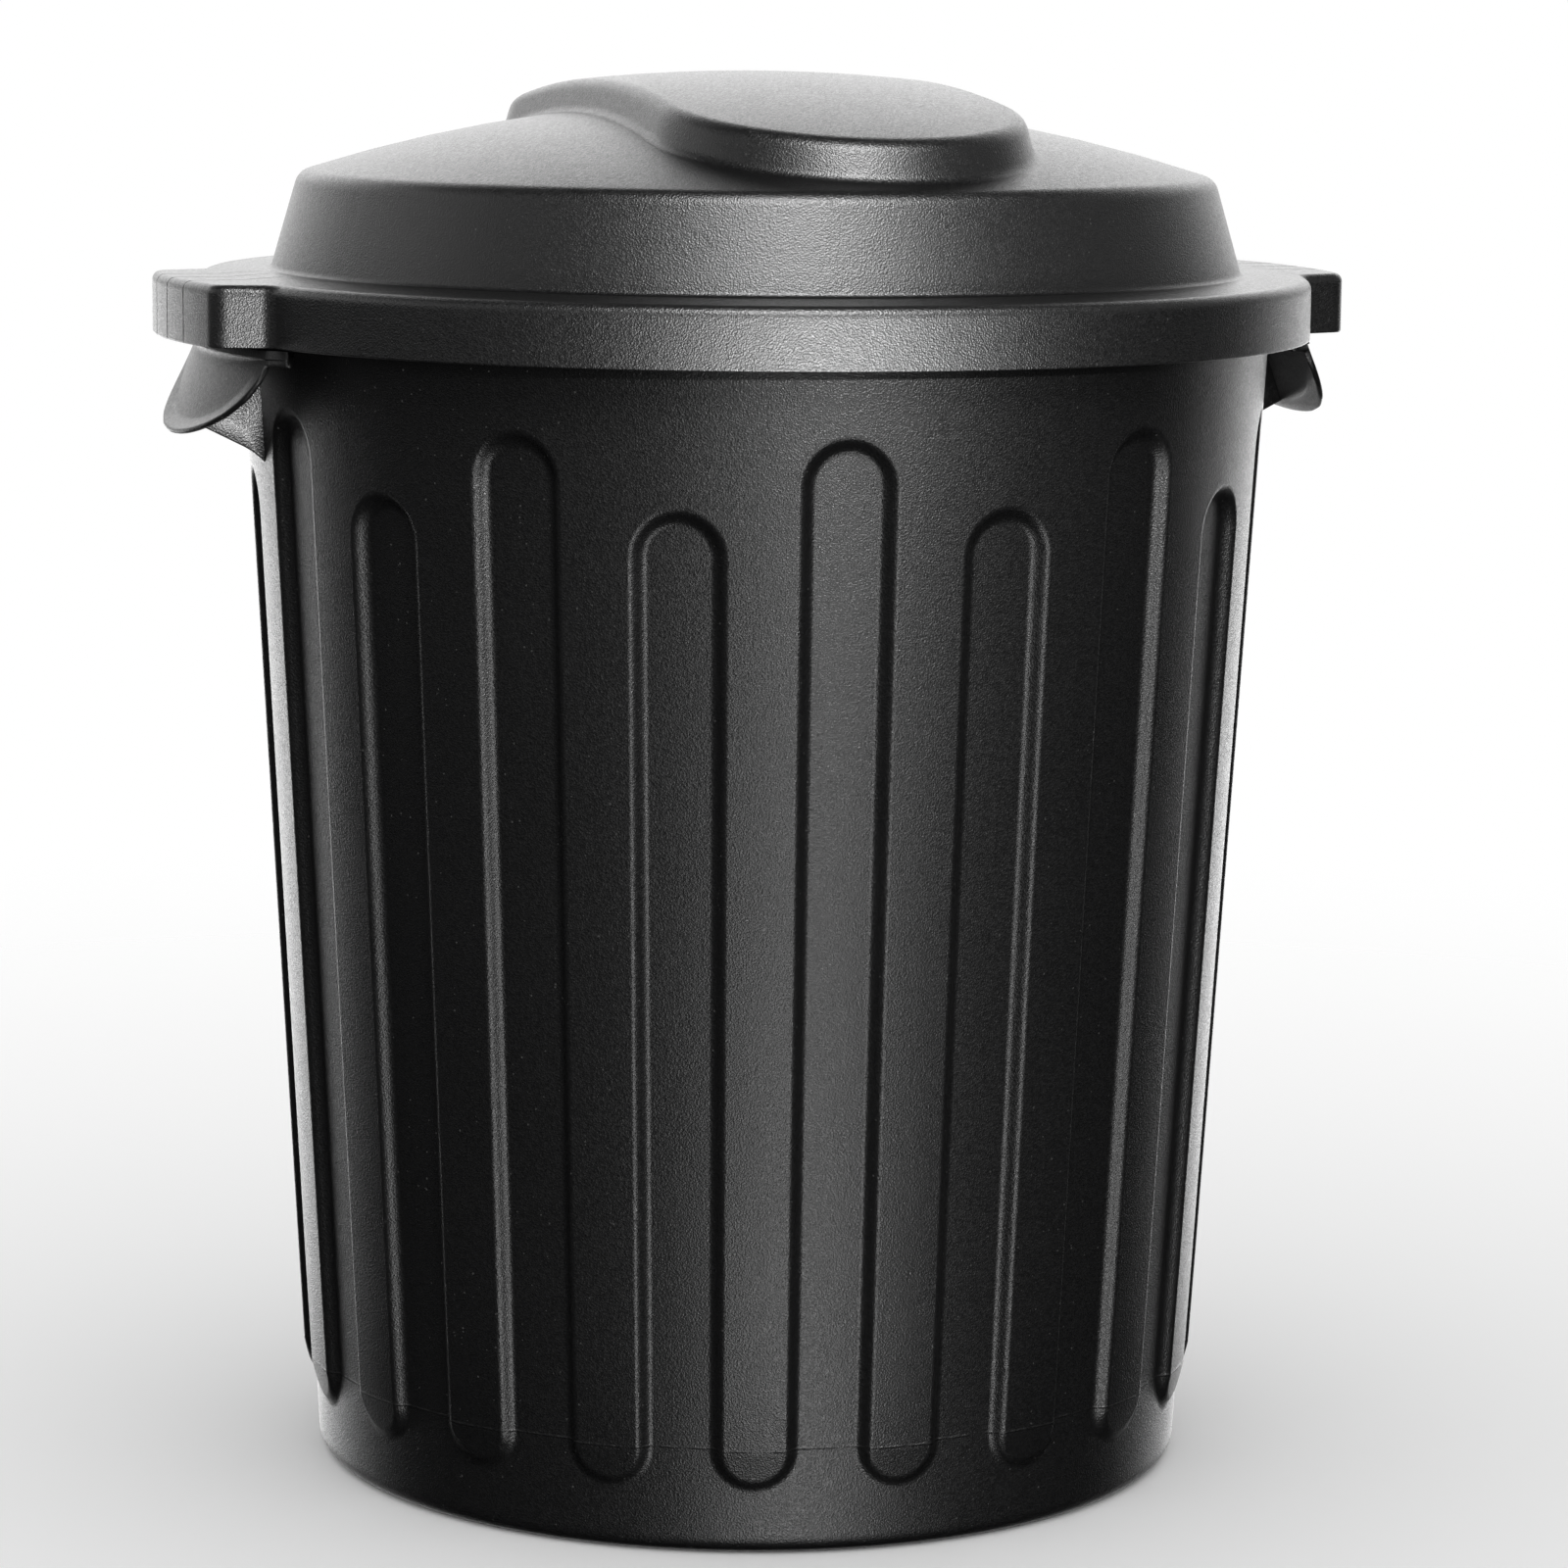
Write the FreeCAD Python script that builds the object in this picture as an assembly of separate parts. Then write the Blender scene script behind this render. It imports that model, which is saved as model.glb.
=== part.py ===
"""Round plastic dustbin: a fluted, tapered tub with two carrying handles, and a lift-off lid.

The floor plane is Z = 0 and the axis of the tub is Z. The handles and the lid's tabs lie on X.
Each moulding is divided where its features meet, so that its pieces touch face to face.
"""
import FreeCAD, Part
import math
import os

# Tub wall, in millimetres. Flutes are pressed into the wall between upright lands.
tub_height = 504.5           # floor plane to the flat top of the rim
tub_wall_thickness = 2.5
land_foot_radius = 190.0     # outside of the lands, carried down to the floor plane
land_rim_radius = 218.0      # outside of the lands at the top of the rim
flute_depth = 4.5            # land to flute floor, at the floor plane
flute_count = 20
flute_floor_share = 0.44     # width of a flute's floor, of one pitch
flute_mouth_share = 0.55     # width of a flute at the land, of one pitch
tall_flute_drop = 51.5       # rim top to the round top of every second flute
short_flute_drop = 80.0      # rim top to the round top of the flutes between them
rib_foot_height = 27.6       # floor plane to the round lower ends of the lands
rib_taper_height = 45.0      # below this height the lands lean in
rib_taper = 2.8              # how far they lean in at their lower ends

# Base of the tub, which ends level with the top of its floor.
foot_ring_width = 14.0
foot_ring_step = 3.0         # slant of the foot ring's inner side
floor_recess = 5.0           # foot ring to the underside of the floor
floor_thickness = 3.0

# Rim of the tub.
rim_overhang = 12.0          # lands to the outside of the turned-down lip
rim_depth = 20.5             # height of the turned-down lip
rim_thickness = 2.5
rim_edge_radius = 1.5

# Carrying handles: a flared flap under the rim, with a turned-out lip and a web behind it.
handle_half_width = 62.0
handle_drop = 61.0           # rim top to the lower edge of the flap
handle_flare = 21.5          # outside of the rim's lip to the outside of the flap's lip
handle_root_drop = 10.45     # rim top to the line where the flap leaves the rim's lip
handle_thickness = 2.5
handle_corner_radius = 33.0
lip_height = 7.5
lip_flare = 6.0              # how far the lip turns out from the flap
lip_bend_radius = 6.0
web_drop = 75.5              # rim top to the web's foot on the wall
web_thickness = 3.0

# Flange and skirt of the lid, which drop over the rim.
lid_wall_thickness = 2.5
lid_clearance = 1.5          # rim lip to the inside of the skirt
skirt_depth = 26.5
flange_width = 29.5          # outside of the skirt to the foot of the crown
flange_edge_radius = 5.0

# Tabs of the lid, which hood the handles.
tab_reach = 20.0             # outside of the skirt to the outside of a tab
tab_half_width = 62.5        # where the tab's ends leave the skirt
tab_draw = 17.6              # degrees that each end draws in towards the tab's middle
tab_clearance = 1.5          # handle to the inside of a tab
groove_count = 3
groove_spacing = 5.5         # degrees
groove_width = 1.2
groove_depth = 0.8

# Crown of the lid: a leaning wall, a rounded shoulder and a domed cap.
crown_rise = 70.4            # flange top to the crest of the cap
crown_lean = 16.2            # degrees between the crown's wall and the upright
cap_radius = 620.0
shoulder_radius = 9.0

# Grip on the crown: a long drafted pad with straight sides, round ends and a domed top.
grip_rise = 83.0             # flange top to the crest of the grip
grip_half_width = 76.0       # at the foot of its long sides
grip_half_length = 175.0     # at the same level
grip_draft = 16.5            # degrees between the pad's wall and the upright
grip_root = 27.0             # how far the pad runs down inside the crown
grip_radius = 674.0          # of its domed top
grip_edge_radius = 7.0       # round the edge of its top

overrun = 10.0               # how far cutting shapes run past what they cut
flute_margin_share = 0.6     # of the flute's depth, how far flute shapes run past the wall's faces

# Places that follow from the sizes above.
ORIGIN = FreeCAD.Vector(0, 0, 0)
UP = FreeCAD.Vector(0, 0, 1)
wall_slope = (land_rim_radius - land_foot_radius) / tub_height
wall_apex = -land_foot_radius / wall_slope
flute_floor_ratio = (land_foot_radius - flute_depth) / land_foot_radius
flute_pitch = 360 / flute_count
floor_top = floor_recess + floor_thickness
heel_radius = floor_recess + tub_wall_thickness
rim_seam = tub_height - rim_depth
rim_radius = land_rim_radius + rim_overhang
handle_bottom = tub_height - handle_drop
handle_root = tub_height - handle_root_drop
handle_reach = rim_radius + handle_flare
flange_top = tub_height + lid_wall_thickness
skirt_bottom = flange_top - skirt_depth
skirt_radius = rim_radius + lid_clearance + lid_wall_thickness
tab_radius = skirt_radius + tab_reach
crown_foot_radius = skirt_radius - flange_width
cap_crest = flange_top + crown_rise
grip_crest = flange_top + grip_rise


def turn(angle):
    """Sine and cosine of an angle in degrees."""
    return math.sin(math.radians(angle)), math.cos(math.radians(angle))


def profile_face(corners):
    """Face in the XZ plane. Each corner is its radius, its height and the radius that rounds it."""
    edges = []
    count = len(corners)
    ends = []
    for index in range(count):
        here, before, after = (corners[i] for i in (index, index - 1, (index + 1) % count))
        point = FreeCAD.Vector(here[0], 0, here[1])
        back = (FreeCAD.Vector(before[0], 0, before[1]) - point).normalize()
        ahead = (FreeCAD.Vector(after[0], 0, after[1]) - point).normalize()
        if here[2] == 0:
            ends.append((point, point))
            continue
        half = back.getAngle(ahead) / 2
        start = point + back * (here[2] / math.tan(half))
        end = point + ahead * (here[2] / math.tan(half))
        middle = (back + ahead).normalize()
        through = point + middle * (here[2] / math.sin(half) - here[2])
        edges.append(Part.Arc(start, through, end).toShape())
        ends.append((start, end))
    for index in range(count):
        edges.append(Part.makeLine(ends[index - 1][1], ends[index][0]))
    return Part.Face(Part.Wire(Part.__sortEdges__(edges)))


def turned(corners):
    """Solid made by turning a profile once round the axis."""
    return profile_face(corners).revolve(ORIGIN, UP, 360)


def spun(shape, angle):
    """Copy of a shape, turned about the axis."""
    copy = shape.copy()
    copy.rotate(ORIGIN, UP, angle)
    return copy


def wall_radius(height, ratio, inset):
    """Radius of the wall's cone. The lands have ratio 1, and inset goes from outside to inside."""
    return ratio * (wall_slope * (height - wall_apex) - inset)


def wall_cone(ratio, inset, low, high):
    """Solid inside one cone of the wall, between two heights."""
    low_radius = wall_radius(low, ratio, inset)
    high_radius = wall_radius(high, ratio, inset)
    return Part.makeCone(low_radius, high_radius, high - low, FreeCAD.Vector(0, 0, low))


def land_solid(inset, low, high):
    """Solid inside the lands, which lean in below the taper height."""
    lean = rib_taper / (rib_taper_height - rib_foot_height)
    foot_radius = wall_radius(low, 1, inset) - lean * (rib_taper_height - low)
    return turned([
        (0, low, 0),
        (foot_radius, low, 0),
        (wall_radius(rib_taper_height, 1, inset), rib_taper_height, 0),
        (wall_radius(high, 1, inset), high, 0),
        (0, high, 0),
    ])


def round_ended(floor_half, land_half, inset, far_height, centre_height, way):
    """Drafted upright strip on +X with a round end above (way 1) or below (way -1) its centre height."""
    wires = []
    step = 1 - flute_floor_ratio
    for depth_share in (-flute_margin_share, 1 + flute_margin_share):
        ratio = flute_floor_ratio + step * depth_share
        sine, cosine = turn(floor_half + (land_half - floor_half) * depth_share)
        centre_radius = wall_radius(centre_height, ratio, inset)
        tip_height = centre_height + way * centre_radius * sine
        far_radius = wall_radius(far_height, ratio, inset)
        tip_radius = wall_radius(tip_height, ratio, inset)
        right_far = FreeCAD.Vector(far_radius * cosine, far_radius * sine, far_height)
        left_far = FreeCAD.Vector(far_radius * cosine, -far_radius * sine, far_height)
        right = FreeCAD.Vector(centre_radius * cosine, centre_radius * sine, centre_height)
        left = FreeCAD.Vector(centre_radius * cosine, -centre_radius * sine, centre_height)
        tip = FreeCAD.Vector(tip_radius * cosine, 0, tip_height)
        end = Part.Arc(right, tip, left).toShape()
        sides = [Part.makeLine(right_far, right), end, Part.makeLine(left, left_far)]
        wires.append(Part.Wire(sides + [Part.makeLine(left_far, right_far)]))
    return Part.makeLoft(wires, True, True)


def fluted_solid(inset, low, high):
    """Solid inside the fluted wall: the flute floors' cone, with the lands and their ribs round it."""
    middle = (rib_foot_height + tub_height - short_flute_drop) / 2
    grow = math.degrees(inset / land_rim_radius)
    floor_half = flute_pitch * flute_floor_share / 2
    mouth_half = flute_pitch * flute_mouth_share / 2
    flutes = []
    for drop, first in ((tall_flute_drop, -flute_pitch / 2), (short_flute_drop, flute_pitch / 2)):
        sine = turn(mouth_half)[0]
        flute_top = tub_height - drop
        centre = (flute_top + wall_slope * wall_apex * sine) / (1 + wall_slope * sine)
        flute = round_ended(floor_half + grow, mouth_half + grow, inset, middle, centre, 1)
        flutes += [spun(flute, first - 90 + 2 * flute_pitch * k) for k in range(flute_count // 2)]

    rib_floor_half = flute_pitch / 2 - floor_half - grow
    rib_land_half = flute_pitch / 2 - mouth_half - grow
    foot_sine = turn(flute_pitch / 2 - floor_half)[0] * flute_floor_ratio
    centre = (rib_foot_height - wall_slope * wall_apex * foot_sine) / (1 - wall_slope * foot_sine)
    rib = round_ended(rib_floor_half, rib_land_half, inset, middle, centre, -1)
    ribs = [spun(rib, flute_pitch * k) for k in range(flute_count)]

    below = low - overrun
    around = Part.makeCylinder(land_rim_radius + overrun, middle - below, FreeCAD.Vector(0, 0, below))
    lands = land_solid(inset, low, high).cut(flutes + [around.cut(ribs)])
    return wall_cone(flute_floor_ratio, inset, low, high).fuse(lands).removeSplitter()


def tub_wall():
    """Fluted wall between the base and the rim, of one thickness all round."""
    outside = fluted_solid(0, floor_top, rim_seam)
    inside = fluted_solid(tub_wall_thickness, floor_top - overrun, rim_seam + overrun)
    return outside.cut(inside)


def tub_base():
    """Floor with a rounded heel and a foot ring, up to the foot of the wall."""
    outer = wall_radius(0, flute_floor_ratio, 0)
    inner = wall_radius(floor_thickness, flute_floor_ratio, tub_wall_thickness)
    foot = outer - heel_radius - foot_ring_width
    channel = foot + tub_wall_thickness
    return turned([
        (0, floor_recess, 0),
        (foot - foot_ring_step, floor_recess, 0),
        (foot, 0, 0),
        (outer, 0, heel_radius),
        (wall_radius(floor_top, flute_floor_ratio, 0), floor_top, 0),
        (wall_radius(floor_top, flute_floor_ratio, tub_wall_thickness), floor_top, 0),
        (inner, floor_thickness, floor_recess),
        (channel, floor_thickness, 0),
        (channel - foot_ring_step, floor_top, 0),
        (0, floor_top, 0),
    ])


def tub_rim():
    """Top of the wall, turned out flat and down again into a lip."""
    under = tub_height - rim_thickness
    return turned([
        (wall_radius(rim_seam, 1, 0), rim_seam, 0),
        (wall_radius(under, 1, 0), under, 0),
        (rim_radius - rim_thickness, under, 0),
        (rim_radius - rim_thickness, rim_seam, 0),
        (rim_radius, rim_seam, 0),
        (rim_radius, tub_height, rim_edge_radius),
        (wall_radius(tub_height, 1, tub_wall_thickness), tub_height, 0),
        (wall_radius(rim_seam, 1, tub_wall_thickness), rim_seam, 0),
    ])


def handle_run():
    """Named places on the flap's profile: its knee above the lip, its level thickness and its slant."""
    knee_radius = handle_reach - lip_flare
    knee_height = handle_bottom + lip_height
    slant = (knee_radius - rim_radius) / (handle_root - knee_height)
    level_thickness = handle_thickness * math.hypot(slant, 1)
    return knee_radius, knee_height, level_thickness, slant


def handle():
    """Flap on +X: a flared sheet from the rim's lip, trimmed to a rounded apron with a turned-out lip."""
    knee_radius, knee_height, level_thickness, slant = handle_run()
    toe_drop = overrun
    toe_radius = handle_reach + lip_flare * toe_drop / lip_height
    toe_height = handle_bottom - toe_drop
    sheet = turned([
        (rim_radius, handle_root, 0),
        (knee_radius, knee_height, lip_bend_radius),
        (toe_radius, toe_height, 0),
        (toe_radius - level_thickness, toe_height, 0),
        (knee_radius - level_thickness, knee_height, lip_bend_radius + handle_thickness),
        (rim_radius, handle_root - level_thickness / slant, 0),
    ])
    neck_height = skirt_bottom - tab_clearance
    neck_reach = rim_radius + (handle_root - neck_height) * slant
    neck_half = tab_half(neck_reach, lid_wall_thickness) - tab_clearance
    apron = profile_face([
        (-handle_half_width, handle_bottom, handle_corner_radius),
        (handle_half_width, handle_bottom, handle_corner_radius),
        (handle_half_width, neck_height, 0),
        (neck_half, neck_height, 0),
        (neck_half, tub_height, 0),
        (-neck_half, tub_height, 0),
        (-neck_half, neck_height, 0),
        (-handle_half_width, neck_height, 0),
    ])
    return sheet.common(spun(apron, 90).extrude(FreeCAD.Vector(handle_reach + overrun, 0, 0)))


def handle_web(neighbours):
    """Upright web on +X between the wall and the flap, trimmed by the pieces round it."""
    knee_radius, knee_height, level_thickness, slant = handle_run()
    in_flap = level_thickness / 2
    in_rim = rim_thickness / 2
    in_wall = tub_wall_thickness / 2
    foot_height = tub_height - web_drop
    face = profile_face([
        (wall_radius(foot_height, 1, in_wall), foot_height, 0),
        (handle_reach - lip_flare / 2 - in_flap, handle_bottom + lip_height / 2, 0),
        (knee_radius - in_flap, knee_height, 0),
        (rim_radius - in_rim, handle_root - (in_flap - in_rim) / slant, 0),
        (rim_radius - in_rim, tub_height - in_rim, 0),
        (wall_radius(tub_height - in_rim, 1, in_wall), tub_height - in_rim, 0),
    ])
    face.translate(FreeCAD.Vector(0, -web_thickness / 2, 0))
    return face.extrude(FreeCAD.Vector(0, web_thickness, 0)).cut(neighbours)


def tab_half(reach, inset):
    """Half the width of a tab at a distance from the axis, less a wall's thickness at each end."""
    sine, cosine = turn(tab_draw)
    root = math.sqrt(skirt_radius ** 2 - tab_half_width ** 2)
    return tab_half_width - (reach - root) * sine / cosine - inset / cosine


def tab_wedge(inset):
    """Upright wedge on +X between the two ends of a tab, moved in by a wall's thickness."""
    far = tab_radius + overrun
    low = skirt_bottom - overrun
    corners = [
        FreeCAD.Vector(0, -tab_half(0, inset), low),
        FreeCAD.Vector(far, -tab_half(far, inset), low),
        FreeCAD.Vector(far, tab_half(far, inset), low),
        FreeCAD.Vector(0, tab_half(0, inset), low),
    ]
    face = Part.Face(Part.makePolygon(corners + corners[:1]))
    return face.extrude(UP * (flange_top + overrun - low))


def edge_disc(radius, inset, bottom):
    """Disc with the flange's rounded edge, moved in by a wall's thickness."""
    top = flange_top - inset
    edge = flange_edge_radius - inset
    return turned([(0, bottom, 0), (radius - inset, bottom, 0), (radius - inset, top, edge), (0, top, 0)])


def lid_edge_solid(inset, bottom):
    """Solid inside the flange, skirt and tabs."""
    hood = edge_disc(tab_radius, inset, bottom).common(tab_wedge(inset))
    return edge_disc(skirt_radius, inset, bottom).fuse([hood, spun(hood, 180)])


def domed(crest, radius, inset):
    """Sphere whose top lies at the crest, moved in by a wall's thickness."""
    return Part.makeSphere(radius - inset, FreeCAD.Vector(0, 0, crest - radius))


def crown_solid(inset, bottom):
    """Solid inside the crown: a leaning wall under a domed cap, with a rounded shoulder."""
    sine, cosine = turn(crown_lean)
    level_inset = inset / cosine
    low_radius = crown_foot_radius - level_inset + (flange_top - bottom) * sine / cosine
    high_radius = crown_foot_radius - level_inset - crown_rise * sine / cosine
    cone = Part.makeCone(low_radius, high_radius, cap_crest - bottom, FreeCAD.Vector(0, 0, bottom))
    body = cone.common(domed(cap_crest, cap_radius, inset))
    rings = [edge for edge in body.Edges if edge.isClosed() and not edge.Degenerated]
    shoulder = max(rings, key=lambda edge: edge.BoundBox.ZMax)
    return body.makeFillet(shoulder_radius - inset, [shoulder])


def dome_height(crest, radius, reach):
    """Height of a dome at a distance from the axis."""
    return crest - radius + math.sqrt(radius ** 2 - reach ** 2)


def pad_wire(height, inset):
    """Long outline with round ends, drawn in with height by the pad's draft."""
    sine, cosine = turn(grip_draft)
    foot_height = dome_height(cap_crest, cap_radius, grip_half_width)
    shift = inset / cosine + (height - foot_height) * sine / cosine
    width = grip_half_width - shift
    length = grip_half_length - shift
    bend = length - width
    at = lambda across, along: FreeCAD.Vector(across, along, height)
    return Part.Wire([
        Part.makeLine(at(width, -bend), at(width, bend)),
        Part.Arc(at(width, bend), at(0, length), at(-width, bend)).toShape(),
        Part.makeLine(at(-width, bend), at(-width, -bend)),
        Part.Arc(at(-width, -bend), at(0, -length), at(width, -bend)).toShape(),
    ])


def pad_block(inset):
    """Drafted block of the grip's outline, from inside the crown to over the crest."""
    low = dome_height(cap_crest, cap_radius, grip_half_width) - grip_root
    return Part.makeLoft([pad_wire(low, inset), pad_wire(grip_crest + overrun, inset)], True, True)


def grip_solid(inset):
    """Solid inside the grip: the pad under its domed top, with a rounded edge."""
    pad = pad_block(inset).common(domed(grip_crest, grip_radius, inset))
    top = max(pad.Faces, key=lambda face: face.BoundBox.ZMax)
    return pad.makeFillet(grip_edge_radius - inset, top.Edges)


def tab_grooves():
    """Shallow upright grooves over the outer edge of the tab on +X."""
    box = Part.makeBox(tab_radius + overrun, groove_width, skirt_depth + overrun)
    box.translate(FreeCAD.Vector(0, -groove_width / 2, skirt_bottom - overrun / 2))
    strip = box.cut(edge_disc(tab_radius, groove_depth, skirt_bottom - overrun))
    strip = strip.cut(Part.makeCylinder(skirt_radius, flange_top + overrun))
    first = -groove_spacing * (groove_count - 1) / 2
    return [spun(strip, first + groove_spacing * k) for k in range(groove_count)]


def lid_pieces():
    """The lid's shell, divided into its flange with the skirt, crown, grip and two tabs."""
    outside = lid_edge_solid(0, skirt_bottom).fuse([crown_solid(0, tub_height), grip_solid(0)])
    inside = lid_edge_solid(lid_wall_thickness, skirt_bottom - overrun)
    crown_inside = crown_solid(lid_wall_thickness, tub_height - overrun)
    shell = outside.cut(inside.fuse([crown_inside, grip_solid(lid_wall_thickness)]))

    inner_skirt = Part.makeCylinder(skirt_radius - lid_wall_thickness, flange_top + overrun)
    hood = tab_wedge(0).cut(inner_skirt)
    block = pad_block(0)
    above = Part.makeCylinder(skirt_radius, grip_rise + overrun, FreeCAD.Vector(0, 0, flange_top))
    right_tab = shell.common(hood).cut(tab_grooves())
    return {
        "lid_flange": shell.cut([hood, spun(hood, 180), above]),
        "lid_crown": shell.common(above).cut(block),
        "lid_grip": shell.common(block),
        "right_lid_tab": right_tab,
        "left_lid_tab": spun(right_tab, 180),
    }


def tub_pieces():
    """The tub: base, wall and rim, and on each side a handle with its web."""
    wall = tub_wall()
    rim = tub_rim()
    right_handle = handle()
    web = handle_web([wall, rim, right_handle])
    return {
        "tub_base": tub_base(),
        "tub_wall": wall,
        "tub_rim": rim,
        "right_handle": right_handle,
        "left_handle": spun(right_handle, 180),
        "right_handle_web": web,
        "left_handle_web": spun(web, 180),
    }


os.makedirs("parts", exist_ok=True)
for name, shape in {**tub_pieces(), **lid_pieces()}.items():
    solids = shape.Solids
    print(name, len(solids), "solid", round(shape.Volume), "mm3", shape.isValid())
    solids[0].exportStep(os.path.join("parts", name + ".step"))
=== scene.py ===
import math

import bmesh
import bpy
import numpy as np
from mathutils import Matrix, Vector


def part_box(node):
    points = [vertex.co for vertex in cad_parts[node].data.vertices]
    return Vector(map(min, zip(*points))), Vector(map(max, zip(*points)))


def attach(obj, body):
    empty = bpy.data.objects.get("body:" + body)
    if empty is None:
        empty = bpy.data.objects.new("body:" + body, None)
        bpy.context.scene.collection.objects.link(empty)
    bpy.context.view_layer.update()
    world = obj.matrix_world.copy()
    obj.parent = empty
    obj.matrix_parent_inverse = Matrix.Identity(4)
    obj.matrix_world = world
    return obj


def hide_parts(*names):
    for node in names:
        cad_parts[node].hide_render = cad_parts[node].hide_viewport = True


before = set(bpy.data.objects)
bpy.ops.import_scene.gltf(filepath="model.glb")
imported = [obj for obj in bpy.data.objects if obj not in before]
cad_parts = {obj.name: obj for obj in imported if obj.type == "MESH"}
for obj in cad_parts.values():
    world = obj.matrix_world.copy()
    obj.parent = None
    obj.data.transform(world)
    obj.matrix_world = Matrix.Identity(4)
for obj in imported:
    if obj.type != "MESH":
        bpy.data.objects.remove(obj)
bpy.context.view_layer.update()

# Black plastic dustbin with a lift-off lid. Lengths are metres in the model's own frame: Z is up,
# the handles and the lid's tabs lie on X, and the bin stands on Z = 0. Angles are degrees.
MM = 0.001

# Roundings are given by their cut, the length that they take off each side of a corner. A supporting
# point follows a rounding at a share of its cut, and evenly divided stretches keep clear of it by a
# number of cuts. Points nearer than the weld become one.
SUPPORT = 0.25
CLEAR_CUTS = 1.3
WELD = 0.004 * MM

# Lines that depend on each other are found by repeating this often.
SETTLING_ROUNDS = 8

# Tub wall: flutes pressed in between upright lands, which end in round feet. A flute's half widths are
# degrees, and its hollow and edge are the cuts of its roundings, as shares of its slanted side. The
# middle line of a flute or land stops at a share of its round end.
TUB_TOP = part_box("tub_rim")[1][2]
RIM_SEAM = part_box("tub_rim")[0][2]
RIM_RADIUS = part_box("tub_rim")[1][0]
WALL = 2.5 * MM
LAND_FOOT_RADIUS = 190.0 * MM
LAND_RIM_RADIUS = 218.0 * MM
WALL_SLOPE = (LAND_RIM_RADIUS - LAND_FOOT_RADIUS) / TUB_TOP
FLUTE_DEPTH = 4.5 * MM
FLOOR_SHARE = 1 - FLUTE_DEPTH / LAND_FOOT_RADIUS
FLUTE_COUNT = 20
PITCH = 360 / FLUTE_COUNT
FLUTE_FLOOR_HALF = 0.44 * PITCH / 2
FLUTE_MOUTH_HALF = 0.55 * PITCH / 2
FLUTE_HOLLOW_SHARE = 0.48
FLUTE_EDGE_SHARE = 0.42
MIDDLE_LINE_SHARE = 0.6
TALL_FLUTE_TOP = TUB_TOP - 51.5 * MM
SHORT_FLUTE_TOP = TUB_TOP - 80.0 * MM
RIB_FOOT = 27.6 * MM
RIB_TAPER_HEIGHT = 45.0 * MM
RIB_TAPER = 2.8 * MM
WALL_MIDDLE = (RIB_FOOT + SHORT_FLUTE_TOP) / 2
HEEL_TOP = 16.0 * MM

# Base and rim of the tub. The heel's cut is a share of its radius, because the wall leans.
FLOOR_RECESS = 5.0 * MM
FLOOR_THICKNESS = 3.0 * MM
HEEL_RADIUS = FLOOR_RECESS + WALL
HEEL_CUT_SHARE = 0.94
FOOT_RING_WIDTH = 14.0 * MM
FOOT_RING_STEP = 3.0 * MM
RIM_EDGE = 1.5 * MM

# Carrying handles: a flared flap with a U-shaped lower edge that turns out into a lip, a low bead at
# its top, an ear at each end, a trace of flash along the lip, and an upright web towards the wall. The
# lip's curl and fade are powers, of the closeness to its edge and of the bend of the U. Turns are degrees
# round the half circle of its edge. The web's hem, rise, toe, bend and places on the way out shape its
# slanted lower edge.
HANDLE_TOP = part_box("right_handle")[1][2]
HANDLE_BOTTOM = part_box("right_handle")[0][2]
FLAP_THICKNESS = 2.5 * MM
FLAP_SHOULDER = 476.0 * MM
FLAP_SHOULDER_RADIUS = 236.5 * MM
FLAP_SLOPE = 0.36
FLAP_HALF_ANGLE = 15.3
FLAP_EAR_ANGLE = 17.2
FLAP_NECK_ANGLE = 13.3
FLAP_EAR_RADIUS = 230.5 * MM
FLAP_EAR_DROP = 1.5 * MM
FLAP_COLUMNS = 61
FLAP_EAR_COLUMNS = 6
FLAP_ROWS = 10
LIP_FLARE = 4.6 * MM
LIP_HEIGHT = 4.2 * MM
LIP_CURL = 1.6
LIP_FADE = 1.5
LIP_LEAST_BEND = 0.1
LIP_DROP_SHARE = 0.7
LIP_TURNS = 36, 72, 108, 144
BEAD_TOP = 479.8 * MM
BEAD_STEP = 0.8 * MM
BEAD_LIFT = 0.4 * MM
BEAD_EDGE = 0.3 * MM
BEAD_HOLLOW = 0.2 * MM
BEAD_FOOT = 0.1 * MM
FLASH = 0.35 * MM
FLASH_ALONG = 0.3
FLASH_END_POWER = 6
FLASH_ON_TURNS = 0.2, 0.5, 1.0, 0.6
FLASH_PITCHES = 0.83, 2.9, 1.7
WEB_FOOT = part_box("right_handle_web")[0][2]
WEB_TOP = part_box("right_handle_web")[1][2]
WEB_TIP = 447.5 * MM
WEB_HEM = 6.0 * MM
WEB_THICKNESS = 3.0 * MM
WEB_EDGE = 0.5 * MM
WEB_RISE = 1.5 * MM
WEB_TOE = 1.0 * MM
WEB_BEND = 4.0 * MM
WEB_PLACES = 0.5, 0.2

# Lid: flange and skirt, tabs over the handles, crown and finger grip. The flange's outside falls
# towards its rounded edge, which is crisper on the tabs. The falling stretch starts some cuts away from
# the crown's fillet and ends some radii before the edge. Rings are shares of the way across a stretch.
FLANGE_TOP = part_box("lid_flange")[1][2]
SKIRT_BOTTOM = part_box("lid_flange")[0][2]
LID_CLEARANCE = 1.5 * MM
SKIRT_RADIUS = RIM_RADIUS + LID_CLEARANCE + WALL
TAB_RADIUS = SKIRT_RADIUS + 20.0 * MM
TAB_HALF_WIDTH = 62.5 * MM
TAB_DRAW = 17.6
TAB_CORNER = 5.5 * MM
TAB_FILLET = 4.0 * MM
SKIRT_COLUMNS = 51
GROOVE_ANGLES = (-5.5, 0.0, 5.5)
GROOVE_HALF_WIDTH = 0.45 * MM
GROOVE_PLACES = -1.8, -1.1, -0.9, -0.45, 0.0, 0.45, 0.9, 1.1, 1.8
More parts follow.
